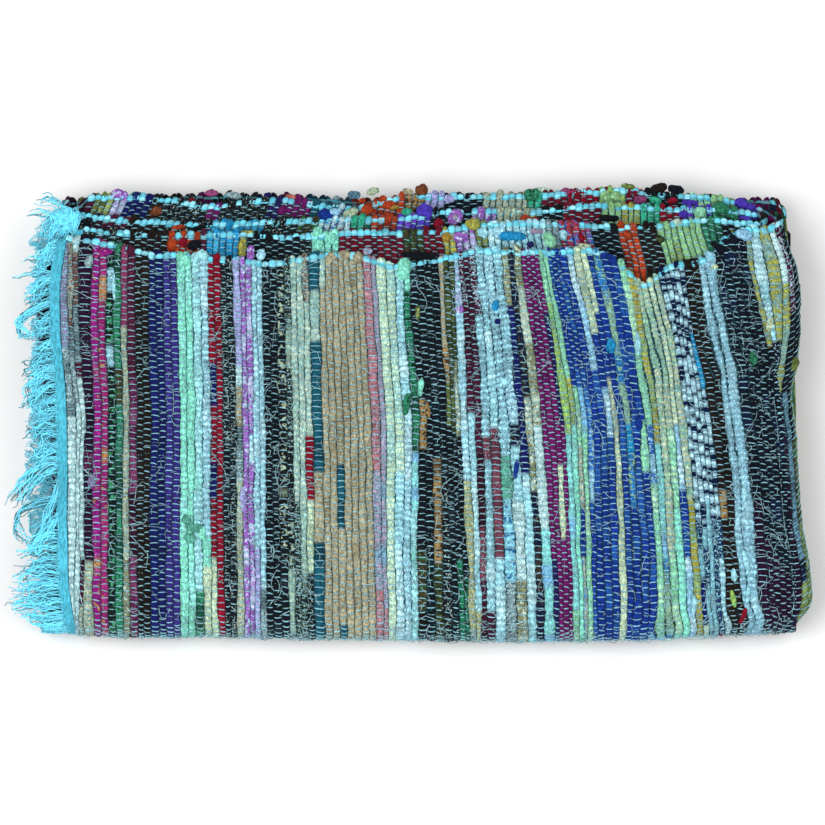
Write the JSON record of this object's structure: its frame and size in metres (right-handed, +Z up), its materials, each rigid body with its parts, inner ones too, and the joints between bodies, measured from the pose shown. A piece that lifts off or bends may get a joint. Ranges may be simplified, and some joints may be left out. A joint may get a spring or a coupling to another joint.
{
  "type": "rag rug",
  "caption": "Long woven rag rug folded into a flat oblong stack, with a cyan warp, staggered selvages at the back and fringed ends at the left.",
  "frame": {"origin": "under the middle of the folded rug, on the floor that it lies on", "axes": "+X along the warp towards the outer length fold, away from the fringed ends; +Y from the width fold at the front to the selvages at the back; +Z up"},
  "size_m": [0.8138, 0.4728, 0.08],
  "materials": {
    "rag_weave": "matt woven strips of cut cotton cloth in many colours on a thin cyan cotton warp",
    "cyan_warp": "matt cyan cotton yarn, plain woven in the headings and loose in the fringe"
  },
  "bodies": {
    "root": {"rug_field": "rag_weave", "fringe_start": "cyan_warp", "fringe_finish": "cyan_warp"}
  },
  "joints": []
}
